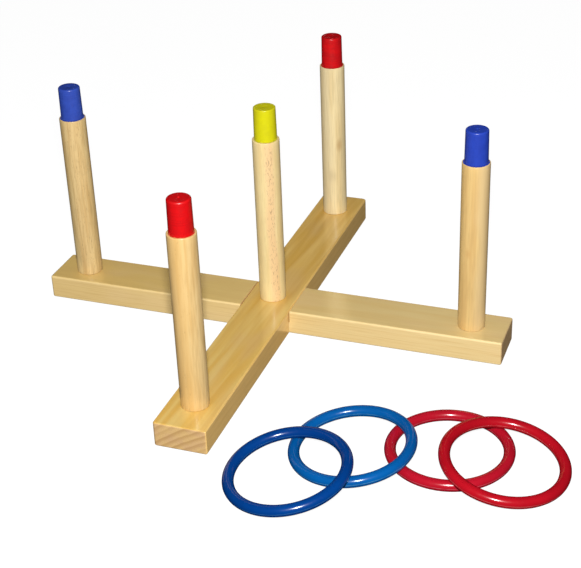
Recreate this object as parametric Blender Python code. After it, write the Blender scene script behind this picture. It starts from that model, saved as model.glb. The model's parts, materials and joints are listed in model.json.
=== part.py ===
"""Ring toss set: a half-lapped cross of two beams, five turned pegs with painted tips, four rings.

Units are metres and +Z is up. The origin is the middle of the cross, on the surface it stands on.
The lower beam lies along X. The upper beam lies along Y, with its front end at -Y.
"""

import math

import bmesh
import bpy
from mathutils import Matrix, Vector

# Clearance between pieces that touch.
GAP = 0.0003

# Beams. Each is cut to half its thickness in the middle, where they cross.
BEAM_LENGTH = 0.600
BEAM_WIDTH = 0.064
BEAM_THICKNESS = 0.031
BEAM_EDGE_RADIUS = 0.0016
LAP_SIDE_CLEARANCE = 0.0010

# Pegs. The shaft stands on the beam, and a thinner spigot goes down into it.
SHAFT_DIAMETER = 0.033
SHAFT_HEIGHT = 0.216
SHAFT_EDGE = 0.0008
SPIGOT_DIAMETER = 0.027
SPIGOT_LENGTH = 0.022
SPIGOT_CHAMFER = 0.0012

# Distance from each end peg's axis to the near end of its beam.
PEG_INSETS = {"left": 0.0425, "right": 0.0445, "front": 0.0480, "back": 0.0460}

# Tips. Each is a slightly tapered plug with a tenon that fits the bore in the shaft's top.
TIP_HEIGHT = 0.0405
TIP_BASE_DIAMETER = 0.0278
TIP_TOP_DIAMETER = 0.0268
TIP_EDGE = 0.0014
TENON_DIAMETER = 0.012
TENON_LENGTH = 0.018
BORE_CLEARANCE = 0.0005

# Rings.
RING_OUTER_DIAMETER = 0.142
RING_TUBE_DIAMETER = 0.013
RING_RADIUS = (RING_OUTER_DIAMETER - RING_TUBE_DIAMETER) / 2

# Each ring: centre on the floor plan, the compass direction it rises towards and how steeply, in
# degrees, and the ring that it leans on. The first lies flat and the others rest on each other.
RINGS = {
    "ring_crimson": {"centre": (0.2843, -0.2208), "rises_towards": 0.0, "lean": 0.0, "on": None},
    "ring_blue": {"centre": (0.1844, -0.2540), "rises_towards": 18.4, "lean": 6.6, "on": "ring_crimson"},
    "ring_red": {"centre": (0.3478, -0.2366), "rises_towards": 166.0, "lean": 8.0, "on": "ring_crimson"},
    "ring_dark_blue": {"centre": (0.1334, -0.3205), "rises_towards": 29.6, "lean": 9.4, "on": "ring_blue"},
}

# Facets around turned pieces and around the rings.
TURNED_SEGMENTS = 40
RING_SEGMENTS = 48
TUBE_SEGMENTS = 12
SMOOTH_ANGLE = math.radians(35)

# Linear base colours and roughness.
FINISHES = {
    "pine_lower": {"colour": (0.62, 0.45, 0.20), "roughness": 0.38},
    "pine_upper": {"colour": (0.60, 0.40, 0.13), "roughness": 0.35},
    "beech": {"colour": (0.80, 0.60, 0.32), "roughness": 0.42},
    "blue_paint": {"colour": (0.028, 0.055, 0.46), "roughness": 0.30},
    "red_paint": {"colour": (0.72, 0.008, 0.012), "roughness": 0.30},
    "yellow_paint": {"colour": (0.66, 0.60, 0.012), "roughness": 0.30},
    "dark_blue_plastic": {"colour": (0.001, 0.050, 0.29), "roughness": 0.22},
    "blue_plastic": {"colour": (0.002, 0.105, 0.43), "roughness": 0.22},
    "crimson_plastic": {"colour": (0.53, 0.009, 0.026), "roughness": 0.22},
    "red_plastic": {"colour": (0.56, 0.006, 0.014), "roughness": 0.22},
}
TIP_FINISHES = {
    "left": "blue_paint",
    "right": "blue_paint",
    "front": "red_paint",
    "back": "red_paint",
    "centre": "yellow_paint",
}


def clear_scene():
    for thing in list(bpy.data.objects):
        bpy.data.objects.remove(thing, do_unlink=True)


def make_materials():
    """One Principled material for each finish, by name."""
    materials = {}
    for name, finish in FINISHES.items():
        material = bpy.data.materials.new(name)
        material.use_nodes = True
        shader = material.node_tree.nodes["Principled BSDF"]
        shader.inputs["Base Color"].default_value = (*finish["colour"], 1.0)
        shader.inputs["Roughness"].default_value = finish["roughness"]
        shader.inputs["Metallic"].default_value = 0.0
        materials[name] = material
    return materials


def add_object(name, bm, location=(0, 0, 0), parent=None, material=None):
    """Links the bmesh as an object whose origin is at a world location, under its parent."""
    bmesh.ops.recalc_face_normals(bm, faces=bm.faces)
    mesh = bpy.data.meshes.new(name)
    bm.to_mesh(mesh)
    bm.free()
    mesh.shade_smooth()
    mesh.set_sharp_from_angle(angle=SMOOTH_ANGLE)
    piece = bpy.data.objects.new(name, mesh)
    bpy.context.scene.collection.objects.link(piece)
    if material:
        mesh.materials.append(material)
    piece.location = location
    bpy.context.view_layer.update()
    if parent:
        piece.parent = parent
        piece.matrix_parent_inverse = parent.matrix_world.inverted()
    return piece


def box_bmesh(size):
    """A box of the given size, centred on its origin."""
    bm = bmesh.new()
    bmesh.ops.create_cube(bm, size=1.0, matrix=Matrix.Diagonal((*size, 1.0)))
    return bm


def cylinder_bmesh(diameter, low, high):
    """A closed cylinder on the Z axis from height low to height high."""
    profile = [(0.0, low), (diameter / 2, low), (diameter / 2, high), (0.0, high)]
    return turned_bmesh(profile)


def turned_bmesh(profile):
    """Turns a profile of (radius, height) points, which starts and ends on the Z axis."""
    bm = bmesh.new()
    points = [bm.verts.new((radius, 0.0, height)) for radius, height in profile]
    edges = [bm.edges.new(pair) for pair in zip(points, points[1:])]
    bmesh.ops.spin(
        bm,
        geom=points + edges,
        cent=(0, 0, 0),
        axis=(0, 0, 1),
        angle=math.tau,
        steps=TURNED_SEGMENTS,
        use_merge=True,
    )
    bmesh.ops.remove_doubles(bm, verts=bm.verts, dist=0.00001)
    return bm


def cut(piece, name, cutter_bmesh, location):
    """Cuts a hidden cutter out of a piece with an exact Boolean."""
    cutter = add_object(name, cutter_bmesh, location, piece)
    cutter.hide_render = True
    cutter.display_type = "WIRE"
    modifier = piece.modifiers.new(name, "BOOLEAN")
    modifier.operation = "DIFFERENCE"
    modifier.solver = "EXACT"
    modifier.object = cutter


def peg_positions():
    """The axis of each peg on the floor plan."""
    half = BEAM_LENGTH / 2
    return {
        "left": Vector((PEG_INSETS["left"] - half, 0, 0)),
        "right": Vector((half - PEG_INSETS["right"], 0, 0)),
        "front": Vector((0, PEG_INSETS["front"] - half, 0)),
        "back": Vector((0, half - PEG_INSETS["back"], 0)),
        "centre": Vector((0, 0, 0)),
    }


def cut_lap(beam, from_top):
    """Cuts the middle of a beam away, from its top or its underside, to just past half its thickness."""
    depth = BEAM_THICKNESS / 2 + GAP / 2
    length = BEAM_WIDTH + 2 * LAP_SIDE_CLEARANCE
    height = 2 * depth
    centre = BEAM_THICKNESS if from_top else 0.0
    size = (length, 2 * BEAM_WIDTH, height) if from_top else (2 * BEAM_WIDTH, length, height)
    cut(beam, beam.name + "_lap_cutter", box_bmesh(size), (0, 0, centre))


def cut_socket(beam, name, axis):
    """Cuts the round socket for a peg's spigot, down from the beam's top."""
    low = -SPIGOT_LENGTH - BORE_CLEARANCE
    high = BEAM_THICKNESS
    bore = cylinder_bmesh(SPIGOT_DIAMETER + 2 * GAP, low, high)
    cut(beam, name + "_socket_cutter", bore, axis + Vector((0, 0, BEAM_THICKNESS)))


def make_beam(name, along_x, material, parent):
    """A straight beam with eased edges, lying on the floor."""
    size = (BEAM_LENGTH, BEAM_WIDTH, BEAM_THICKNESS)
    if not along_x:
        size = (BEAM_WIDTH, BEAM_LENGTH, BEAM_THICKNESS)
    bm = box_bmesh(size)
    bmesh.ops.translate(bm, verts=bm.verts, vec=(0, 0, BEAM_THICKNESS / 2))
    beam = add_object(name, bm, (0, 0, 0), parent, material)
    ease = beam.modifiers.new("eased_edges", "BEVEL")
    ease.width = BEAM_EDGE_RADIUS
    ease.segments = 2
    ease.limit_method = "ANGLE"
    return beam


def peg_profile():
    """Spigot, shaft and the bore in its top, with heights measured from the beam's top."""
    spigot = SPIGOT_DIAMETER / 2
    shaft = SHAFT_DIAMETER / 2
    bore = TENON_DIAMETER / 2 + GAP
    bore_floor = SHAFT_HEIGHT - TENON_LENGTH - BORE_CLEARANCE
    return [
        (0.0, -SPIGOT_LENGTH),
        (spigot - SPIGOT_CHAMFER, -SPIGOT_LENGTH),
        (spigot, -SPIGOT_LENGTH + SPIGOT_CHAMFER),
        (spigot, GAP),
        (shaft, GAP),
        (shaft, SHAFT_HEIGHT - SHAFT_EDGE),
        (shaft - SHAFT_EDGE, SHAFT_HEIGHT),
        (bore, SHAFT_HEIGHT),
        (bore, bore_floor),
        (0.0, bore_floor),
    ]


def tip_profile():
    """Tenon and tapered tip, with heights measured from the shaft's top."""
    tenon = TENON_DIAMETER / 2
    base = TIP_BASE_DIAMETER / 2
    top = TIP_TOP_DIAMETER / 2
    return [
        (0.0, -TENON_LENGTH),
        (tenon, -TENON_LENGTH),
        (tenon, GAP),
        (base, GAP),
        (top, TIP_HEIGHT - TIP_EDGE),
        (top - 0.3 * TIP_EDGE, TIP_HEIGHT - 0.3 * TIP_EDGE),
        (top - TIP_EDGE, TIP_HEIGHT),
        (0.0, TIP_HEIGHT),
    ]


def make_peg(side, axis, beam, materials):
    """A turned peg and its painted tip. The peg's origin is on its axis at the beam's top."""
    foot = axis + Vector((0, 0, BEAM_THICKNESS))
    peg = add_object("peg_" + side, turned_bmesh(peg_profile()), foot, beam, materials["beech"])
    shoulder = foot + Vector((0, 0, SHAFT_HEIGHT))
    paint = materials[TIP_FINISHES[side]]
    add_object("tip_" + side, turned_bmesh(tip_profile()), shoulder, peg, paint)


def make_cross(materials):
    """The two beams and the five pegs. The centre peg goes through the upper beam into the lower."""
    lower = make_beam("lower_beam", True, materials["pine_lower"], None)
    upper = make_beam("upper_beam", False, materials["pine_upper"], lower)
    cut_lap(lower, from_top=True)
    cut_lap(upper, from_top=False)
    for side, axis in peg_positions().items():
        if side != "centre":
            beam = lower if side in ("left", "right") else upper
            cut_socket(beam, side, axis)
            make_peg(side, axis, beam, materials)
    centre = peg_positions()["centre"]
    cut_socket(lower, "centre_lower", centre)
    cut_socket(upper, "centre_upper", centre)
    make_peg("centre", centre, upper, materials)


def ring_bmesh():
    """A ring of round section, flat on the XY plane and centred on its origin."""
    bm = bmesh.new()
    bmesh.ops.create_circle(
        bm,
        segments=TUBE_SEGMENTS,
        radius=RING_TUBE_DIAMETER / 2,
        matrix=Matrix.Translation((RING_RADIUS, 0, 0)) @ Matrix.Rotation(math.pi / 2, 4, "X"),
    )
    bmesh.ops.spin(
        bm,
        geom=bm.verts[:] + bm.edges[:],
        cent=(0, 0, 0),
        axis=(0, 0, 1),
        angle=math.tau,
        steps=RING_SEGMENTS,
        use_merge=True,
    )
    bmesh.ops.remove_doubles(bm, verts=bm.verts, dist=0.00001)
    return bm


def make_rings(materials):
    """The four rings. Each leaning ring touches the floor on its low side."""
    made = {}
    for name, lay in RINGS.items():
        lean = math.radians(lay["lean"])
        turn = math.radians(lay["rises_towards"])
        height = RING_TUBE_DIAMETER / 2 + RING_RADIUS * math.sin(lean)
        finish = materials[name.removeprefix("ring_") + "_plastic"]
        ring = add_object(name, ring_bmesh(), (0, 0, 0), None, finish)
        tilt = Matrix.Rotation(turn, 4, "Z") @ Matrix.Rotation(-lean, 4, "Y")
        ring.matrix_world = Matrix.Translation((*lay["centre"], height)) @ tilt
        bpy.context.view_layer.update()
        if lay["on"]:
            below = made[lay["on"]]
            ring.parent = below
            ring.matrix_parent_inverse = below.matrix_world.inverted()
        made[name] = ring


def main():
    clear_scene()
    materials = make_materials()
    make_cross(materials)
    make_rings(materials)


main()
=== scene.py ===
"""Looks of the ring toss set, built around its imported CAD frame.

Every CAD node is replaced by a finer mesh of the same size, with a procedural material of its own.
Lengths are in metres, in the frame of the CAD model.
"""

import json
import math

import bmesh
import bpy
import numpy as np
from mathutils import Matrix, Vector


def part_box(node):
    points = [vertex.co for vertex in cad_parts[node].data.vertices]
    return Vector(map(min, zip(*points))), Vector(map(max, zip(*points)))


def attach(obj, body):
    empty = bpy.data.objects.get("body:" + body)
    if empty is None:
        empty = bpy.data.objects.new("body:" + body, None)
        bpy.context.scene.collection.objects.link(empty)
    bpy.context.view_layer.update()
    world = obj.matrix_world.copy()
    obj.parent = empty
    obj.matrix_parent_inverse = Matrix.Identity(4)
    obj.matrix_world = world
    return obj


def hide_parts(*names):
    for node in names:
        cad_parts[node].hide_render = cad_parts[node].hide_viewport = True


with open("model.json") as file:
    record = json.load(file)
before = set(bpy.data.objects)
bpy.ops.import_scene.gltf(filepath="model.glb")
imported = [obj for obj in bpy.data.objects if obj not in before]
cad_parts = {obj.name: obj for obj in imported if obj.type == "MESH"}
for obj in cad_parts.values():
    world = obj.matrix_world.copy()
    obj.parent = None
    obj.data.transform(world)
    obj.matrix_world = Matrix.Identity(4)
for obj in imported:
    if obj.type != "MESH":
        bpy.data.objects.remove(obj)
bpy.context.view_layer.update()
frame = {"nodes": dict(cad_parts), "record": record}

MM = 0.001

# Camera: where it looks, from which side, how high and how far, and how the picture is turned.
CAMERA_TARGET = Vector((-0.0086, 0.0864, 0.0))
CAMERA_AZIMUTH = 20.75
CAMERA_ELEVATION = 29.33
CAMERA_ROLL = -2.33
CAMERA_DISTANCE = 1.872
CAMERA_LENS_MM = 87.34
CAMERA_SENSOR_MM = 36.0

# Light: a soft key just above the camera, a weak low light from behind, and an even fill.
KEY_AZIMUTH = 20.75
KEY_ELEVATION = 33.0
KEY_DISTANCE = 1.87
KEY_POWER = 140.0
KEY_RADIUS = 0.05
BACK_AZIMUTH = 200.75
BACK_ELEVATION = 9.0
BACK_STRENGTH = 1.1
BACK_SOFTNESS = 25.0
BACK_DISTANCE = 2.0
FILL_STRENGTH = 0.17

# Stage: a floor that bends up into a round wall. It glows, so that shadows on it stay faint.
FLOOR_RADIUS = 7.0
BEND_RADIUS = 3.0
WALL_HEIGHT = 9.0
STAGE_GAP = 0.0002
STAGE_BEND_STEPS = 12
STAGE_GLOW = 0.93
STAGE_COLOUR = 0.15

# Beams: the rounding of their level edges, the steps of the roundings, and the clearances of the half-lap.
LOWER_EDGE = 2.3 * MM
UPPER_EDGE = 2.0 * MM
CORNER_STEPS = 5
EDGE_STEPS = 4
LAP_CLEARANCE = 1.0 * MM
LAP_CLEARANCE_LEFT = 0.4 * MM

# Pegs and tips: steps round and along them, their gaps and roundings, how far below a tip's top its crown
# is measured, and the hollow in its top.
SEGMENTS = 96
SHAFT_STEPS = 24
TIP_STEPS = 16
FIT_GAP = 0.3 * MM
END_GAP = 0.5 * MM
SPIGOT_CHAMFER = 1.2 * MM
FOOT_ROUND = 0.5 * MM
SHOULDER_ROUND = 0.9 * MM
CROWN_DEPTHS = (0.5 * MM, 2 * MM)
TIP_DIP = 0.10 * MM
TIP_FLOOR = 0.12 * MM
MARK_OUTER = 1.6 * MM
MARK_INNER = 0.9 * MM

# Rings: steps round the ring and its tube, how far inside the CAD tube they stay, and the parting line.
RING_STEPS = 160
TUBE_STEPS = 32
RING_INSET = 0.02 * MM
PARTING_RIDGE = 0.06 * MM
PARTING_WIDTH = 0.30 * MM

# Edges whose faces meet at more than this many degrees are drawn sharp.
SHARP_ANGLE = 35.0
BEAM_SHARP_ANGLE = 28.0
RING_SHARP_ANGLE = 80.0

# The beam that each peg stands on.
PEG_BEAMS = {
    "left": "lower_beam",
    "right": "lower_beam",
    "front": "upper_beam",
    "back": "upper_beam",
    "centre": "upper_beam",
}


# ---------------------------------------------------------------------------------------------
# Node graphs
# ---------------------------------------------------------------------------------------------


class Graph:
    """One material and short calls for adding nodes to it. Each call gives back an output socket."""

    def __init__(self, name):
        self.material = bpy.data.materials.new(name)
        self.material.use_nodes = True
        self.tree = self.material.node_tree
        self.shader = self.tree.nodes["Principled BSDF"]

    def put(self, socket, value):
        if isinstance(value, bpy.types.NodeSocket):
            self.tree.links.new(value, socket)
        elif socket.type == "RGBA":
            socket.default_value = (*value, 1.0)
        else:
            socket.default_value = value

    def node(self, kind, inputs=(), **settings):
        node = self.tree.nodes.new("ShaderNode" + kind)
        for name, value in settings.items():
            setattr(node, name, value)
        for name, value in dict(inputs).items():
            self.put(node.inputs[name], value)
        return node

    def shade(self, **inputs):
        """Sets or links inputs of the Principled shader, with _ for each space in their names."""
        for name, value in inputs.items():
            self.put(self.shader.inputs[name.replace("_", " ")], value)

    def math(self, operation, a, b=0.0, c=0.0):
        return self.node("Math", {0: a, 1: b, 2: c}, operation=operation).outputs[0]

    def add(self, *values):
        total = values[0]
        for value in values[1:]:
            total = self.math("ADD", total, value)
        return total

    def times(self, *values):
        product = values[0]
        for value in values[1:]:
            product = self.math("MULTIPLY", product, value)
        return product

    def less(self, a, b):
        return self.math("SUBTRACT", a, b)

    def size(self, *values):
        """The length of a vector with these components."""
        return self.math("SQRT", self.add(*[self.math("MULTIPLY", v, v) for v in values]))

    def span(self, value, low, high, to_low=0.0, to_high=1.0):
        """A smooth step of value, from to_low at low to to_high at high."""
        inputs = {"Value": value, "From Min": low, "From Max": high, "To Min": to_low, "To Max": to_high}
        return self.node("MapRange", inputs, interpolation_type="SMOOTHSTEP").outputs["Result"]

    def mix(self, factor, a, b):
        node = self.node("Mix", data_type="RGBA")
        shown = [socket for socket in node.inputs if socket.enabled]
        for socket, value in zip(shown, (factor, a, b)):
            self.put(socket, value)
        return next(socket for socket in node.outputs if socket.enabled)

    def position(self):
        return self.node("TexCoord").outputs["Object"]

    def split(self, vector):
        node = self.node("SeparateXYZ", {"Vector": vector})
        return node.outputs["X"], node.outputs["Y"], node.outputs["Z"]

    def join(self, x, y, z):
        return self.node("CombineXYZ", {"X": x, "Y": y, "Z": z}).outputs["Vector"]

    def shifted(self, offset):
        """The position moved by a constant, so that pieces with one recipe differ."""
        return self.node("Mapping", {"Vector": self.position(), "Location": offset}).outputs["Vector"]

    def noise(self, vector, scale=1.0, detail=2.0, roughness=0.5):
        inputs = {"Vector": vector, "Scale": scale, "Detail": detail, "Roughness": roughness}
        return self.node("TexNoise", inputs, noise_dimensions="3D").outputs["Fac"]

    def bump(self, height, distance, strength):
        inputs = {"Height": height, "Distance": distance, "Strength": strength}
        return self.node("Bump", inputs).outputs["Normal"]


def srgb(red, green, blue):
    """A linear colour from 0 to 255 display values."""
    return tuple(((v / 255 + 0.055) / 1.055) ** 2.4 if v > 10 else v / 3295 for v in (red, green, blue))


# ---------------------------------------------------------------------------------------------
# Wood
# ---------------------------------------------------------------------------------------------

# Growth rings: how often they wander in a metre across the grain, where in its year the late wood darkens
# and where it ends, and how strong the faintest ring is.
WANDER_SCALE = 14.0
LATE_WOOD_DARKENS = (0.15, 0.82)
LATE_WOOD_ENDS = (0.84, 1.0)
FAINTEST_RING = 0.35

# Width and length of the streaks in beams and in dowels.
BEAM_FIBRES = (1.1 * MM, 45 * MM)
BEAM_DASHES = (1.7 * MM, 70 * MM)
BEAM_STREAKS = (13 * MM, 220 * MM)
BEAM_BLUSHES = (34 * MM, 90 * MM)
DOWEL_FIBRES = (0.9 * MM, 26 * MM)
DOWEL_STREAKS = (9 * MM, 130 * MM)
DOWEL_PORES = (1.0 * MM, 5.5 * MM)
DOWEL_SWAY = (50 * MM, 70 * MM)

# Features per metre of the noise in end grain, in lacquer, and along ragged borders.
END_PORES = 900.0
END_CLOUDS = 60.0
BEAM_SMEARS = 34.0
DOWEL_SMEARS = 40.0
WORN_AND_LIT_EDGE_BREAKS = 90.0
PAINT_BREAKS = 260.0

# Where along a beam the tones of its two ends are reached, and how deep its paler edges reach, paler from
# wear and a painted highlight.
TONE_ENDS = (-0.24, 0.24)
WORN_AND_LIT_EDGE = (0.6 * MM, 3.4 * MM)
WORN_AND_LIT_EDGE_RAGGED = 3.0 * MM

# Growth rings in dowels, the spread of the border of a tip's paint, and the depth of its layer.
DOWEL_RING_SPACING = 3.6 * MM
DOWEL_RING_WANDER = 5 * MM
DOWEL_RING_WANDER_LENGTH = 0.30
PAINT_BORDER = 0.2 * MM
PAINT_RAGGED = 1.4 * MM
PAINT_LAYER = (0.6 * MM, 0.3 * MM)

# How far the grain moves along x, y and z from one peg to the next, so that the pegs differ.
DOWEL_SHIFT = (0.113, 0.071, 0.37)

# Relief of the grain: its height, and how strongly it shows.
GRAIN_DEPTH = 0.10 * MM
GRAIN_STRENGTH = 0.5


def annual_rings(g, u, v, w, pith, spacing, wander, wander_length, slant=0.0):
    """Growth rings about a pith that lies outside the piece, along w. Gives the tone of the late wood.

    slant is how far the pith moves along u for each metre along w.
    """
    across = (g.times(u, WANDER_SCALE), g.times(v, WANDER_SCALE))
    drift = g.join(*across, g.math("DIVIDE", w, wander_length))
    shift = g.times(g.less(g.noise(drift, 1.0, 3.0, 0.45), 0.5), wander)
    distance = g.size(g.less(g.less(u, pith[0]), g.times(w, slant)), g.less(v, pith[1]))
    count = g.math("DIVIDE", g.add(distance, shift), spacing)
    phase = g.math("FRACT", count)
    tone = g.times(g.span(phase, *LATE_WOOD_DARKENS), g.span(phase, *LATE_WOOD_ENDS, 1.0, 0.0))
    strength = g.node("TexWhiteNoise", {"W": g.math("FLOOR", count)}, noise_dimensions="1D")
    return g.times(tone, g.span(strength.outputs["Value"], 0.0, 1.0, FAINTEST_RING, 1.0))


def fibres(g, u, v, w, size, detail=3.0):
    """Streaks along the grain, of about that width and length."""
    width, length = size
    across = (g.math("DIVIDE", u, width), g.math("DIVIDE", v, width))
    return g.noise(g.join(*across, g.math("DIVIDE", w, length)), 1.0, detail, 0.6)


def near_edges(g, node, along):
    """1 along the four long edges of a beam, fading out over a few millimetres from them."""
    low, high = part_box(node)
    middle, half = (low + high) / 2, (high - low) / 2
    x, y, z = g.split(g.position())
    side = y if along == "X" else x
    across = half.y if along == "X" else half.x
    inward_side = g.less(across, g.math("ABSOLUTE", side))
    inward_top = g.less(half.z, g.math("ABSOLUTE", g.less(z, middle.z)))
    breaks = g.noise(g.position(), WORN_AND_LIT_EDGE_BREAKS, 3.0, 0.6)
    ragged = g.times(g.less(breaks, 0.5), WORN_AND_LIT_EDGE_RAGGED)
    return g.span(g.add(g.math("MAXIMUM", inward_side, inward_top), ragged), *WORN_AND_LIT_EDGE, 1.0, 0.0)


def pine_faces(g, u, v, w, late_wood, fine, upright, edge, tones, contrast):
    """Colour of a beam's long faces. upright is 1 on its sides, and edge is 1 along its long edges."""
    dashes = fibres(g, u, v, w, BEAM_DASHES, 2.0)
    streaks = fibres(g, u, v, w, BEAM_STREAKS, 2.0)
    blushes = fibres(g, u, v, w, BEAM_BLUSHES, 1.0)
    colour = g.mix(g.span(w, *TONE_ENDS), tones["start"], tones["finish"])
    colour = g.mix(g.span(streaks, 0.36, 0.66, 0.0, contrast["streak"]), colour, tones["streak"])
    colour = g.mix(g.span(blushes, 0.48, 0.72, 0.0, 0.5), colour, tones["blush"])
    # Painted light: the side tone makes the upright faces lighter, as light bouncing onto them would.
    colour = g.mix(g.times(upright, contrast["side"]), colour, tones["side"])
    late_shown = g.span(upright, 0.0, 1.0, contrast["late"], contrast["late_side"])
    colour = g.mix(g.times(late_wood, late_shown), colour, tones["late"])
    colour = g.mix(g.span(fine, 0.25, 0.75, 0.0, contrast["fibre"]), colour, tones["late"])
    dash_shown = g.span(upright, 0.0, 1.0, 0.3 * contrast["dash"], contrast["dash"])
    colour = g.mix(g.times(g.span(dashes, 0.50, 0.66), dash_shown), colour, tones["late"])
    # The edge tone is paler partly from wear and partly as a painted highlight of the rounded edges.
    return g.mix(g.times(edge, contrast["edge"]), colour, tones["edge"])


def pine_ends(g, late_wood, pores, clouds, tones):
    """Colour of a beam's end grain."""
    colour = g.mix(g.span(clouds, 0.35, 0.65), tones["pale"], tones["rosy"])
    colour = g.mix(g.times(late_wood, 0.70), colour, tones["late"])
    return g.mix(g.span(pores, 0.40, 0.70, 0.0, 0.30), colour, tones["late"])


def pine(node, along, pith, spacing, wander, wander_length, slant, tones, contrast, end_tones):
    """Lacquered pine: growth rings, streaks, fibres, edges paler from wear and a painted highlight, and end
    grain with less lacquer.

    along is the axis that the beam lies along. tones holds the colours at the beam's two ends and of its
    streaks, blushes, late wood, sides (painted light: a lighter tone on the upright faces) and edges (paler
    from wear and a painted highlight), and contrast how strongly most of them show.
    """
    g = Graph(node + "_pine")
    x, y, z = g.split(g.position())
    u, v, w = (y, z, x) if along == "X" else (x, z, y)
    late_wood = annual_rings(g, u, v, w, pith, spacing, wander, wander_length, slant)
    slanted = g.less(u, g.times(w, slant))
    fine = fibres(g, slanted, v, w, BEAM_FIBRES)
    normals = dict(zip("XYZ", g.split(g.node("TexCoord").outputs["Normal"])))
    upright = g.span(g.math("ABSOLUTE", normals["Z"]), 0.3, 0.8, 1.0, 0.0)
    edge = near_edges(g, node, along)
    faces = pine_faces(g, slanted, v, w, late_wood, fine, upright, edge, tones, contrast)
    end = g.span(g.math("ABSOLUTE", normals[along]), 0.55, 0.90)
    pores = g.noise(g.join(u, v, w), END_PORES, 2.0, 0.6)
    clouds = g.noise(g.join(u, v, w), END_CLOUDS, 3.0, 0.6)
    g.shade(Base_Color=g.mix(end, faces, pine_ends(g, late_wood, pores, clouds, end_tones)))
    smear = g.noise(g.position(), BEAM_SMEARS, 3.0, 0.6)
    g.shade(Roughness=g.add(g.span(smear, 0.3, 0.7, 0.34, 0.44), g.times(fine, 0.08), g.times(end, 0.2)))
    relief = g.add(g.times(fine, 0.6), g.times(late_wood, 0.6), g.times(pores, end, 2.5))
    g.shade(Normal=g.bump(relief, GRAIN_DEPTH, GRAIN_STRENGTH))
    g.shade(Coat_Weight=g.times(g.span(edge, 0.0, 1.0, 1.0, 0.25), g.span(end, 0.0, 1.0, 1.0, 0.3)))
    g.shade(Specular_IOR_Level=0.3, Coat_IOR=1.65, Coat_Roughness=0.14)
    return g.material


def dowel_grain(g, u, v, w, late_wood, fine, pale, shade, grain):
    """Colour of a dowel's grain, with darker lines over it."""
    streaks = fibres(g, u, v, w, DOWEL_STREAKS, 2.0)
    lines = fibres(g, u, v, w, grain[:2], 2.0)
    colour = g.mix(g.span(streaks, 0.36, 0.68), pale, shade)
    colour = g.mix(g.times(late_wood, 0.28), colour, shade)
    colour = g.mix(g.span(fine, 0.32, 0.78, 0.0, 0.20), colour, shade)
    line = tuple(0.74 * channel for channel in shade)
    return g.mix(g.span(lines, 0.44, 0.66, 0.0, grain[2]), colour, line)


def in_band(g, u, v, w, angle, band):
    """1 in the dowel's band, which is a range of angles round it with a wavy border."""
    sway = g.times(g.less(fibres(g, u, v, w, DOWEL_SWAY, 2.0), 0.5), 0.7)
    away = g.math("ABSOLUTE", g.less(g.add(angle, sway), math.radians(band["at"])))
    reach = math.radians(band["reach"])
    return g.span(away, 0.25 * reach, reach, 1.0, 0.0)


def in_spot(g, angle, height, at, radius):
    """1 in the middle of a soft spot on a dowel. at is its angle in degrees, its height and its reach."""
    round_way = g.times(g.less(angle, math.radians(at[0])), radius)
    up_way = g.times(g.less(height, at[1]), 0.5)
    return g.span(g.size(round_way, up_way), 0.0, at[2], 1.0, 0.0)


def on_shoulder(g, side, x, y, z, reach):
    """1 where the tip's paint has run onto the peg's shoulder, up to a ragged border at that reach."""
    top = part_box("peg_" + side)[1].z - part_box(PEG_BEAMS[side])[1].z
    ragged = g.times(g.less(g.noise(g.position(), PAINT_BREAKS, 2.0), 0.5), PAINT_RAGGED)
    distance = g.add(g.size(x, y), ragged)
    painted = g.span(distance, reach - PAINT_BORDER, reach + PAINT_BORDER, 1.0, 0.0)
    return g.times(painted, g.span(z, top - PAINT_LAYER[0], top - PAINT_LAYER[1]))


def beech(side, seed, pale, shade, band, grain, pores, paint, spots=()):
    """Lacquered beech dowel: faint growth rings, fibres, pores in short dark dashes, and a band.

    band holds a tone, where its middle is and how far it reaches in degrees, how strongly it shows and its
    share of pores. grain is the width, length and strength of the lines. paint is the colour of the tip's
    paint and how far from the axis it reaches. Each spot has a place, a colour and a strength.
    """
    g = Graph("peg_%s_beech" % side)
    x, y, z = g.split(g.position())
    u, v, w = [g.add(value, shift * seed) for value, shift in zip((x, y, z), DOWEL_SHIFT)]
    pith = (0.055, 0.030 + 0.012 * seed)
    ring_size = (DOWEL_RING_SPACING, DOWEL_RING_WANDER, DOWEL_RING_WANDER_LENGTH)
    late_wood = annual_rings(g, x, y, w, pith, *ring_size)
    fine = fibres(g, u, v, w, DOWEL_FIBRES)
    colour = dowel_grain(g, u, v, w, late_wood, fine, pale, shade, grain)
    angle = g.math("ARCTAN2", y, x)
    inside = in_band(g, u, v, w, angle, band)
    colour = g.mix(g.times(inside, band["mix"]), colour, band["tone"])
    threshold = g.less(0.78, g.add(0.16 * pores, g.times(inside, 0.16 * band["pores"])))
    pore = g.span(g.less(fibres(g, u, v, w, DOWEL_PORES, 1.0), threshold), 0.0, 0.06)
    strength = g.add(0.16 + 0.20 * pores, g.times(inside, 0.50 * band["pores"]))
    dark = tuple(0.45 * channel for channel in band["tone"])
    colour = g.mix(g.times(pore, strength), colour, dark)
    low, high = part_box("peg_" + side)
    radius = (high.x - low.x) / 2
    for at, mark, amount in spots:
        colour = g.mix(g.times(in_spot(g, angle, z, at, radius), amount), colour, mark)
    painted = on_shoulder(g, side, x, y, z, paint[1])
    g.shade(Base_Color=g.mix(painted, colour, paint[0]))
    smear = g.noise(g.position(), DOWEL_SMEARS, 3.0, 0.6)
    g.shade(Roughness=g.add(g.span(smear, 0.3, 0.7, 0.40, 0.50), g.times(fine, 0.06)))
    g.shade(Normal=g.bump(g.less(g.times(fine, 0.7), pore), GRAIN_DEPTH, GRAIN_STRENGTH))
    g.shade(Specular_IOR_Level=0.35, Coat_Weight=0.35, Coat_Roughness=0.25)
    return g.material


# ---------------------------------------------------------------------------------------------
# Paint
# ---------------------------------------------------------------------------------------------

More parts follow.
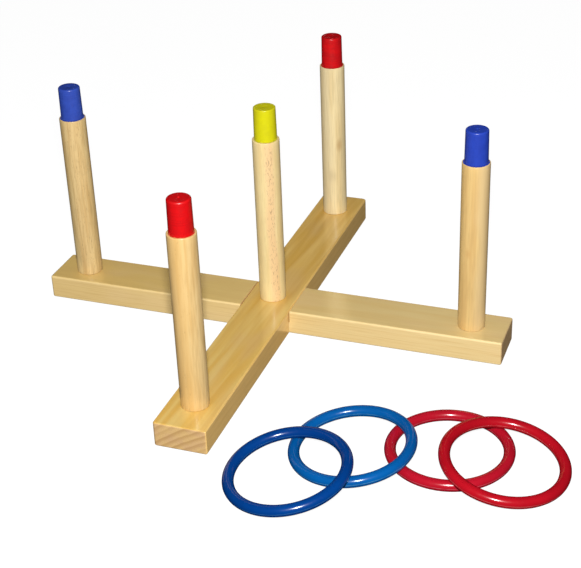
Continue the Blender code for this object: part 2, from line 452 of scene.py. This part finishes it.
# Features per metre of the brush rings, thin spots and specks, and the size of the grain under the paint.
BRUSH_RINGS = 900.0
BRUSH_DRIFT = 18.0
THIN_SPOTS = 110.0
SPECKS = 1100.0
PAINTED_GRAIN = (1.3 * MM, 12 * MM)
PAINT_DEPTH = 0.14 * MM


def tip_paint(side, seed, body, deep, brush):
    """Gloss paint brushed on turned wood: brush rings, grain that shows through, and thin spots."""
    g = Graph("tip_%s_gloss" % side)
    x, y, z = g.split(g.position())
    drift = (g.times(x, BRUSH_DRIFT), g.times(y, BRUSH_DRIFT))
    turned_rings = g.noise(g.join(*drift, g.add(g.times(z, BRUSH_RINGS), 7.0 * seed)), 1.0, 2.0, 0.6)
    grain = fibres(g, x, y, g.add(z, 0.11 * seed), PAINTED_GRAIN, 2.0)
    thin = g.noise(g.shifted((0.3 * seed, 0.0, 0.0)), THIN_SPOTS, 3.0, 0.6)
    speck = g.noise(g.shifted((0.0, 0.3 * seed, 0.0)), SPECKS, 2.0, 0.6)
    colour = g.mix(g.span(thin, 0.3, 0.75, 0.0, 0.5), body, deep)
    colour = g.mix(g.span(grain, 0.50, 0.78, 0.0, 0.35), colour, deep)
    colour = g.mix(g.span(turned_rings, 0.50, 0.78, 0.0, brush), colour, deep)
    g.shade(Base_Color=colour)
    g.shade(Roughness=g.span(thin, 0.25, 0.75, 0.30, 0.42))
    relief = g.add(g.times(turned_rings, 0.8 + brush), g.times(grain, 0.9), g.times(speck, 0.7))
    g.shade(Normal=g.bump(relief, PAINT_DEPTH, 0.8))
    g.shade(Specular_IOR_Level=0.35, Coat_Weight=0.35, Coat_Roughness=0.22)
    return g.material


# ---------------------------------------------------------------------------------------------
# Plastic
# ---------------------------------------------------------------------------------------------

# Features per metre of the flow marks, breaks in the seam, scuffs and dimples, and the seam's half-width.
FLOW_MARKS = 26.0
SEAM_BREAKS = 90.0
SCUFFS = 240.0
DIMPLES = 420.0
SEAM = (0.20 * MM, 0.45 * MM)
DIMPLE_DEPTH = 0.05 * MM


def ring_plastic(node, seed, normal, body, deep, line):
    """Glossy moulded plastic, with a seam round the ring's middle plane painted paler as a painted
    highlight of its ridge, and faint scuffs.
    """
    g = Graph(node + "_gloss")
    flow = g.noise(g.shifted((0.4 * seed, 0.0, 0.0)), FLOW_MARKS, 3.0, 0.6)
    colour = g.mix(g.span(flow, 0.3, 0.7), body, deep)
    height = g.node("VectorMath", {0: g.position(), 1: normal}, operation="DOT_PRODUCT").outputs["Value"]
    seam = g.span(g.math("ABSOLUTE", height), *SEAM, 1.0, 0.0)
    breaks = g.noise(g.shifted((0.0, 0.7 * seed, 0.0)), SEAM_BREAKS, 2.0, 0.6)
    # Painted highlight: the seam is painted paler, as light caught on its ridge.
    colour = g.mix(g.times(seam, g.span(breaks, 0.30, 0.62, 0.20, 0.75)), colour, line)
    g.shade(Base_Color=colour)
    scuff = g.noise(g.shifted((0.0, 0.0, 0.5 * seed)), SCUFFS, 3.0, 0.7)
    g.shade(Roughness=g.add(g.span(scuff, 0.45, 0.80, 0.20, 0.28), g.times(seam, 0.12)))
    dimples = g.noise(g.position(), DIMPLES, 2.0, 0.5)
    g.shade(Normal=g.bump(g.add(dimples, g.times(scuff, 0.5)), DIMPLE_DEPTH, 0.12))
    g.shade(Specular_IOR_Level=0.45)
    return g.material


# ---------------------------------------------------------------------------------------------
# Meshes
# ---------------------------------------------------------------------------------------------


def add_object(name, data):
    """Links an object for a camera, a light or a mesh."""
    made = bpy.data.objects.new(name, data)
    bpy.context.scene.collection.objects.link(made)
    return made


def piece_from(name, bm, material, sharp_angle=SHARP_ANGLE):
    bmesh.ops.recalc_face_normals(bm, faces=bm.faces)
    mesh = bpy.data.meshes.new(name)
    bm.to_mesh(mesh)
    bm.free()
    mesh.shade_smooth()
    mesh.set_sharp_from_angle(angle=math.radians(sharp_angle))
    if material:
        mesh.materials.append(material)
    return add_object(name, mesh)


def body_of(node):
    bodies = frame["record"]["behaviour"]["bodies"]
    return next(body for body, members in bodies.items() if node in members)


def stand_for(piece, node):
    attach(piece, body_of(node))
    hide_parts(node)


def turned(profile, segments=SEGMENTS):
    """Turns a profile of (radius, height) points about the Z axis. A point on the axis closes the shape."""
    bm = bmesh.new()
    rows = []
    for radius, height in profile:
        if radius < 1e-7:
            rows.append([bm.verts.new((0, 0, height))])
            continue
        turns = [math.tau * i / segments for i in range(segments)]
        rows.append([bm.verts.new((radius * math.cos(t), radius * math.sin(t), height)) for t in turns])
    for low, high in zip(rows, rows[1:]):
        for i in range(segments):
            j = (i + 1) % segments
            corners = [low[i % len(low)], low[j % len(low)], high[j % len(high)], high[i % len(high)]]
            bm.faces.new(dict.fromkeys(corners))
    return bm


def rounded(centre, radius, start, end, steps=5):
    """Points of an arc in a turned profile, from one angle to another in degrees."""
    angles = [math.radians(start + (end - start) * i / steps) for i in range(steps + 1)]
    return [(centre[0] + radius * math.cos(a), centre[1] + radius * math.sin(a)) for a in angles]


def evenly(start, end, steps):
    """Profile points in even steps from one point to another, without the first."""
    parts = [i / steps for i in range(1, steps + 1)]
    return [(start[0] + (end[0] - start[0]) * t, start[1] + (end[1] - start[1]) * t) for t in parts]


def apply_modifiers(piece):
    bpy.context.view_layer.update()
    evaluated = piece.evaluated_get(bpy.context.evaluated_depsgraph_get())
    mesh = bpy.data.meshes.new_from_object(evaluated)
    piece.modifiers.clear()
    piece.data = mesh


def subtract(piece, cutters):
    for cutter in cutters:
        modifier = piece.modifiers.new("cut", "BOOLEAN")
        modifier.operation = "DIFFERENCE"
        modifier.solver = "EXACT"
        modifier.object = cutter
    apply_modifiers(piece)
    for cutter in cutters:
        bpy.data.objects.remove(cutter)


# ---------------------------------------------------------------------------------------------
# Camera, light and stage
# ---------------------------------------------------------------------------------------------


def towards(azimuth, elevation):
    """The unit vector from the object to a place at that azimuth and elevation, in degrees."""
    a, e = math.radians(azimuth), math.radians(elevation)
    return Vector((math.sin(a) * math.cos(e), -math.cos(a) * math.cos(e), math.sin(e)))


def place(placed, azimuth, elevation, distance, roll=0.0):
    """Puts a camera or lamp round the camera's target, and aims it at the target."""
    back = towards(azimuth, elevation)
    aim = back.to_track_quat("Z", "Y").to_matrix().to_4x4()
    spin = Matrix.Rotation(math.radians(roll), 4, "Z")
    placed.matrix_world = Matrix.Translation(CAMERA_TARGET + back * distance) @ aim @ spin


def make_camera():
    data = bpy.data.cameras.new("camera")
    data.lens = CAMERA_LENS_MM
    data.sensor_width = CAMERA_SENSOR_MM
    camera = add_object("camera", data)
    place(camera, CAMERA_AZIMUTH, CAMERA_ELEVATION, CAMERA_DISTANCE, CAMERA_ROLL)
    bpy.context.scene.camera = camera


def make_lights():
    key = bpy.data.lights.new("key", "POINT")
    key.energy = KEY_POWER
    key.shadow_soft_size = KEY_RADIUS
    place(add_object("key", key), KEY_AZIMUTH, KEY_ELEVATION, KEY_DISTANCE)
    back = bpy.data.lights.new("back", "SUN")
    back.energy = BACK_STRENGTH
    back.angle = math.radians(BACK_SOFTNESS)
    back_lamp = add_object("back", back)
    back_lamp.visible_glossy = False
    place(back_lamp, BACK_AZIMUTH, BACK_ELEVATION, BACK_DISTANCE)
    world = bpy.data.worlds.new("studio")
    world.use_nodes = True
    background = world.node_tree.nodes["Background"]
    background.inputs["Color"].default_value = (1.0, 1.0, 1.0, 1.0)
    background.inputs["Strength"].default_value = FILL_STRENGTH
    bpy.context.scene.world = world
    world.cycles_visibility.glossy = False
    bpy.context.scene.view_settings.view_transform = "Standard"


def make_stage():
    """The floor and wall. Only the camera sees them, so they cast no light or shadow on the object."""
    g = Graph("stage")
    g.shade(Base_Color=(STAGE_COLOUR,) * 3, Roughness=1.0, Specular_IOR_Level=0.0)
    g.shade(Emission_Color=(1.0, 1.0, 1.0), Emission_Strength=STAGE_GLOW)
    profile = [(0, 0)]
    profile += rounded((FLOOR_RADIUS, BEND_RADIUS), BEND_RADIUS, -90, 0, STAGE_BEND_STEPS)
    profile += [(FLOOR_RADIUS + BEND_RADIUS, WALL_HEIGHT)]
    stage = piece_from("stage", turned(profile), g.material)
    stage.location.z = -STAGE_GAP
    stage.visible_diffuse = False
    stage.visible_glossy = False
    stage.visible_transmission = False
    stage.visible_shadow = False


# ---------------------------------------------------------------------------------------------
# Beams
# ---------------------------------------------------------------------------------------------


def peg_axis(side):
    low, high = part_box("peg_" + side)
    return Vector(((low.x + high.x) / 2, (low.y + high.y) / 2, 0.0))


def widest(node, axis, below, above=-1.0):
    """The largest distance from a vertical axis to a CAD node's vertices between two heights."""
    points = [v.co for v in frame["nodes"][node].data.vertices if above < v.co.z < below]
    return max(math.hypot(p.x - axis.x, p.y - axis.y) for p in points)


def beam_block(node, edge, corner_radii):
    """A block with its four upright corners rounded, each by its own radius, and then its level edges."""
    low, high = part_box(node)
    tall = (high.z - low.z) / 2
    bm = bmesh.new()
    shape = Matrix.Translation((low + high) / 2) @ Matrix.Diagonal((*(high - low), 1.0))
    bmesh.ops.create_cube(bm, size=1.0, matrix=shape)
    for (sign_x, sign_y), corner in corner_radii.items():
        upright = [
            e for e in bm.edges
            if all(v.co.x * sign_x > 0 and v.co.y * sign_y > 0 for v in e.verts)
            and abs(e.verts[0].co.z - e.verts[1].co.z) > tall
        ]
        bmesh.ops.bevel(bm, geom=upright, offset=corner, segments=CORNER_STEPS, profile=0.5, affect="EDGES")
    level = {e for f in bm.faces if abs(f.normal.z) > 0.9 for e in f.edges}
    bmesh.ops.bevel(bm, geom=list(level), offset=edge, segments=EDGE_STEPS, profile=0.5, affect="EDGES")
    return bm


def socket_cutter(node, side):
    """A cylinder for the socket that a peg's spigot stands in."""
    axis = peg_axis(side)
    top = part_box(node)[1].z
    radius = widest("peg_" + side, axis, top - MM) + FIT_GAP
    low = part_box("peg_" + side)[0].z - END_GAP
    profile = [(0, low), (radius, low), (radius, top + MM), (0, top + MM)]
    cutter = piece_from("socket", turned(profile), None)
    cutter.location = axis
    return cutter


def lap_cutter(node, other):
    """A block for the half-lap. The lower beam is cut from above, and the upper beam from below."""
    low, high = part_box(node)
    other_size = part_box(other)[1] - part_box(other)[0]
    left = LAP_CLEARANCE_LEFT if node == "lower_beam" else LAP_CLEARANCE
    wide = (other_size.x if node == "lower_beam" else other_size.y) + left + LAP_CLEARANCE
    deep = 2 * (high.y - low.y if node == "lower_beam" else high.x - low.x)
    size = (wide, deep, high.z) if node == "lower_beam" else (deep, wide, high.z)
    up = 1 if node == "lower_beam" else -1
    centre = (low.z + high.z) / 2 + up * (high.z / 2 - FIT_GAP / 2)
    bm = bmesh.new()
    shift = (LAP_CLEARANCE - left) / 2
    shape = Matrix.Translation((shift, 0, centre)) @ Matrix.Diagonal((*size, 1.0))
    bmesh.ops.create_cube(bm, size=1.0, matrix=shape)
    return piece_from("lap", bm, None)


def make_beam(node, other, edge, corner_radii, material):
    piece = piece_from(node + "_wood", beam_block(node, edge, corner_radii), material)
    sides = [side for side, beam in PEG_BEAMS.items() if beam == node or side == "centre"]
    subtract(piece, [lap_cutter(node, other)] + [socket_cutter(node, side) for side in sides])
    piece.data.shade_smooth()
    piece.data.set_sharp_from_angle(angle=math.radians(BEAM_SHARP_ANGLE))
    weights = piece.modifiers.new("flat_faces", "WEIGHTED_NORMAL")
    weights.keep_sharp = True
    apply_modifiers(piece)
    stand_for(piece, node)


# ---------------------------------------------------------------------------------------------
# Pegs and tips
# ---------------------------------------------------------------------------------------------


def make_peg(side, material):
    """A dowel with a spigot below and a bore above for its tip's tenon. Heights are from the beam's top."""
    axis = peg_axis(side)
    low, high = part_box("peg_" + side)
    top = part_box(PEG_BEAMS[side])[1].z
    shaft = (high.x - low.x) / 2
    spigot = widest("peg_" + side, axis, top - MM)
    bore = widest("tip_" + side, axis, high.z - MM) + FIT_GAP
    height = high.z - top
    bottom = low.z - top
    bore_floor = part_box("tip_" + side)[0].z - top - END_GAP
    profile = [(0, bottom), (spigot - SPIGOT_CHAMFER, bottom), (spigot, bottom + SPIGOT_CHAMFER)]
    profile += [(spigot, FIT_GAP)]
    profile += rounded((shaft - FOOT_ROUND, FIT_GAP + FOOT_ROUND), FOOT_ROUND, -90, 0, 3)
    profile += evenly(profile[-1], (shaft, height - SHOULDER_ROUND), SHAFT_STEPS)
    profile += rounded((shaft - SHOULDER_ROUND, height - SHOULDER_ROUND), SHOULDER_ROUND, 18, 90)
    profile += [(bore, height), (bore, bore_floor), (0, bore_floor)]
    piece = piece_from("peg_%s_wood" % side, turned(profile), material)
    piece.location = (axis.x, axis.y, top)
    stand_for(piece, "peg_" + side)


def make_tip(side, material, edge, mark):
    """A painted tip. mark is the depth of the lathe's centre mark in its top."""
    axis = peg_axis(side)
    low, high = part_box("tip_" + side)
    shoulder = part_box("peg_" + side)[1].z
    base = (high.x - low.x) / 2
    crown = widest("tip_" + side, axis, high.z - CROWN_DEPTHS[0], high.z - CROWN_DEPTHS[1])
    tenon = widest("tip_" + side, axis, shoulder - MM)
    height = high.z - shoulder
    bottom = low.z - shoulder
    profile = [(0, bottom), (tenon, bottom), (tenon, FIT_GAP), (base - FIT_GAP, FIT_GAP)]
    profile += [(base, 2 * FIT_GAP)]
    profile += evenly(profile[-1], (crown, height - edge), TIP_STEPS)
    profile += rounded((crown - edge, height - edge), edge, 10, 90, 7)
    profile += [(0.6 * crown, height - TIP_DIP), (MARK_OUTER, height - TIP_FLOOR)]
    profile += [(MARK_INNER, height - TIP_FLOOR - 0.6 * mark), (0, height - TIP_FLOOR - mark)]
    piece = piece_from("tip_%s_paint" % side, turned(profile), material)
    piece.location = (axis.x, axis.y, shoulder)
    stand_for(piece, "tip_" + side)


# ---------------------------------------------------------------------------------------------
# Rings
# ---------------------------------------------------------------------------------------------


def ring_place(node):
    """Centre, axis, outer radius and tube radius of a ring, from its CAD node."""
    points = np.array([v.co for v in frame["nodes"][node].data.vertices])
    centre = (points.max(0) + points.min(0)) / 2
    normal = np.linalg.svd(points - points.mean(0), full_matrices=False)[2][2]
    normal = normal if normal[2] > 0 else -normal
    away = points - centre
    return Vector(centre), Vector(normal), np.linalg.norm(away, axis=1).max(), np.abs(away @ normal).max()


def tube_angles(tube):
    """Angles round the tube's section, closer together at the parting line."""
    fine = [PARTING_WIDTH / tube * f for f in (-2.0, -1.0, -0.5, 0.0, 0.5, 1.0, 2.0)]
    plain = [math.tau * i / TUBE_STEPS for i in range(1, TUBE_STEPS // 2)]
    half_turn = fine + plain
    return sorted(half_turn + [math.pi + angle for angle in half_turn])


def make_ring(node, seed, body, deep, line):
    """A round tube with a fine raised parting line along its outer and inner middle."""
    centre, normal, outer, tube = ring_place(node)
    outer -= RING_INSET
    tube -= RING_INSET
    section = []
    for angle in tube_angles(tube):
        ridge = PARTING_RIDGE * math.exp(-((tube * math.sin(angle)) / PARTING_WIDTH) ** 2)
        radius = tube - PARTING_RIDGE + ridge
        section.append((outer - tube + radius * math.cos(angle), radius * math.sin(angle)))
    bm = bmesh.new()
    rows = []
    for i in range(RING_STEPS):
        turn = math.tau * i / RING_STEPS
        rows.append([bm.verts.new((r * math.cos(turn), r * math.sin(turn), z)) for r, z in section])
    for row, following in zip(rows, rows[1:] + rows[:1]):
        for j in range(len(row)):
            k = (j + 1) % len(row)
            bm.faces.new((row[j], following[j], following[k], row[k]))
    bmesh.ops.rotate(bm, verts=bm.verts, matrix=normal.to_track_quat("Z", "X").to_matrix())
    material = ring_plastic(node, seed, normal, body, deep, line)
    piece = piece_from(node + "_plastic", bm, material, RING_SHARP_ANGLE)
    piece.location = centre
    stand_for(piece, node)


# ---------------------------------------------------------------------------------------------
# The set
# ---------------------------------------------------------------------------------------------

make_camera()
make_lights()
make_stage()

make_beam(
    "lower_beam",
    "upper_beam",
    LOWER_EDGE,
    {(-1, -1): 3.0 * MM, (-1, 1): 2.6 * MM, (1, -1): 2.6 * MM, (1, 1): 2.6 * MM},
    pine(
        "lower_beam",
        along="X",
        pith=(0.010, -0.150),
        spacing=2.7 * MM,
        wander=5 * MM,
        wander_length=0.18,
        slant=0.0,
        tones=dict(
            start=srgb(231, 197, 118),
            finish=srgb(231, 205, 143),
            streak=srgb(226, 190, 118),
            blush=srgb(232, 200, 142),
            late=srgb(200, 160, 92),
            # Painted light: a lighter tone on the upright faces, standing for light bouncing onto them.
            side=srgb(243, 213, 156),
            # Edge tone: paler partly from wear and partly as a painted highlight of the rounded edges.
            edge=srgb(248, 226, 172),
        ),
        contrast=dict(late=0.15, late_side=0.12, side=0.45, streak=0.35, fibre=0.12, dash=0.24, edge=0.35),
        end_tones=dict(pale=srgb(230, 194, 140), rosy=srgb(218, 180, 130), late=srgb(190, 150, 100)),
    ),
)
make_beam(
    "upper_beam",
    "lower_beam",
    UPPER_EDGE,
    {(-1, -1): 3.6 * MM, (-1, 1): 2.4 * MM, (1, -1): 2.4 * MM, (1, 1): 5.0 * MM},
    pine(
        "upper_beam",
        along="Y",
        pith=(0.149, -0.198),
        spacing=8.0 * MM,
        wander=16 * MM,
        wander_length=0.16,
        slant=0.05,
        tones=dict(
            start=srgb(226, 194, 116),
            finish=srgb(240, 199, 113),
            streak=srgb(216, 166, 62),
            blush=srgb(218, 181, 120),
            late=srgb(200, 148, 62),
            # Painted light: a lighter tone on the upright faces, standing for light bouncing onto them.
            side=srgb(255, 211, 132),
            # Edge tone: paler partly from wear and partly as a painted highlight of the rounded edges.
            edge=srgb(240, 206, 134),
        ),
        contrast=dict(late=0.30, late_side=0.12, side=1.0, streak=0.58, fibre=0.08, dash=0.12, edge=0.12),
        end_tones=dict(pale=srgb(214, 178, 118), rosy=srgb(208, 170, 122), late=srgb(168, 126, 72)),
    ),
)

BLUE_LEFT = srgb(52, 80, 180)
BLUE_RIGHT = srgb(40, 68, 178)
RED_FRONT = srgb(208, 8, 14)
RED_BACK = srgb(214, 12, 20)
YELLOW = srgb(211, 206, 14)

# Each peg's number, pale and darker wood, band, grain, share of pores, paint on the shoulder, and spots.
PEGS = {
    "left": dict(
        seed=1,
        pale=srgb(232, 206, 148),
        shade=srgb(208, 174, 114),
        band=dict(tone=srgb(212, 168, 110), at=-60, reach=50, mix=0.25, pores=0.3),
        grain=(1.2 * MM, 26 * MM, 0.52),
        pores=0.55,
        paint=(BLUE_LEFT, 15.2 * MM),
    ),
    "right": dict(
        seed=2,
        pale=srgb(226, 192, 126),
        shade=srgb(212, 174, 110),
        band=dict(tone=srgb(220, 192, 142), at=-30, reach=55, mix=0.6, pores=0.0),
        grain=(1.8 * MM, 34 * MM, 0.26),
        pores=0.1,
        paint=(BLUE_RIGHT, 15.2 * MM),
        spots=[((-100, 0.105, 5 * MM), srgb(206, 160, 96), 0.5)],
    ),
    "front": dict(
        seed=3,
        pale=srgb(222, 192, 134),
        shade=srgb(208, 170, 108),
        band=dict(tone=srgb(216, 174, 106), at=-100, reach=60, mix=0.55, pores=0.2),
        grain=(1.9 * MM, 28 * MM, 0.32),
        pores=0.35,
        paint=(RED_FRONT, 14.2 * MM),
    ),
    "back": dict(
        seed=4,
        pale=srgb(244, 224, 174),
        shade=srgb(234, 209, 154),
        band=dict(tone=srgb(216, 200, 162), at=-110, reach=45, mix=0.4, pores=0.0),
        grain=(1.3 * MM, 36 * MM, 0.50),
        pores=0.3,
        paint=(RED_BACK, 15.0 * MM),
        spots=[
            ((-45, 0.105, 7 * MM), srgb(190, 150, 96), 0.6),
            ((-85, 0.060, 8 * MM), srgb(190, 168, 128), 0.4),
        ],
    ),
    "centre": dict(
        seed=5,
        pale=srgb(238, 216, 158),
        shade=srgb(230, 202, 142),
        band=dict(tone=srgb(232, 190, 142), at=-60, reach=30, mix=0.60, pores=0.80),
        grain=(1.5 * MM, 16 * MM, 0.20),
        pores=0.40,
        paint=(YELLOW, 14.1 * MM),
    ),
}
# Each tip's slot, paint and its darker tone, strength of the brush rings, rounding and centre mark.
TIPS = {
    "left": ("blue_paint", BLUE_LEFT, srgb(38, 60, 150), 0.45, 2.0 * MM, 0.4 * MM),
    "right": ("blue_paint", BLUE_RIGHT, srgb(28, 52, 152), 0.20, 2.0 * MM, 1.0 * MM),
    "front": ("red_paint", RED_FRONT, srgb(168, 6, 12), 0.60, 2.4 * MM, 1.3 * MM),
    "back": ("red_paint", RED_BACK, srgb(166, 6, 16), 0.60, 1.7 * MM, 0.5 * MM),
    "centre": ("yellow_paint", YELLOW, srgb(196, 188, 12), 0.20, 1.1 * MM, 0.3 * MM),
}
for side, look in PEGS.items():
    make_peg(side, beech(side, **look))
for number, (side, (slot, body, deep, brush, edge, mark)) in enumerate(TIPS.items()):
    make_tip(side, tip_paint(side, number, body, deep, brush), edge, mark)

# Each ring's slot, colour, its darker tone, and the parting line's paler tone, a painted highlight of its
# ridge.
RINGS = {
    "ring_dark_blue": ("dark_blue_plastic", srgb(1, 57, 125), srgb(1, 51, 118), srgb(50, 100, 150)),
    "ring_blue": ("blue_plastic", srgb(3, 84, 152), srgb(3, 78, 144), srgb(80, 140, 180)),
    "ring_crimson": ("crimson_plastic", srgb(172, 18, 38), srgb(162, 16, 34), srgb(196, 96, 108)),
    "ring_red": ("red_plastic", srgb(168, 13, 28), srgb(158, 11, 25), srgb(196, 96, 96)),
}
for number, (node, (slot, body, deep, line)) in enumerate(RINGS.items(), 1):
    make_ring(node, number, body, deep, line)
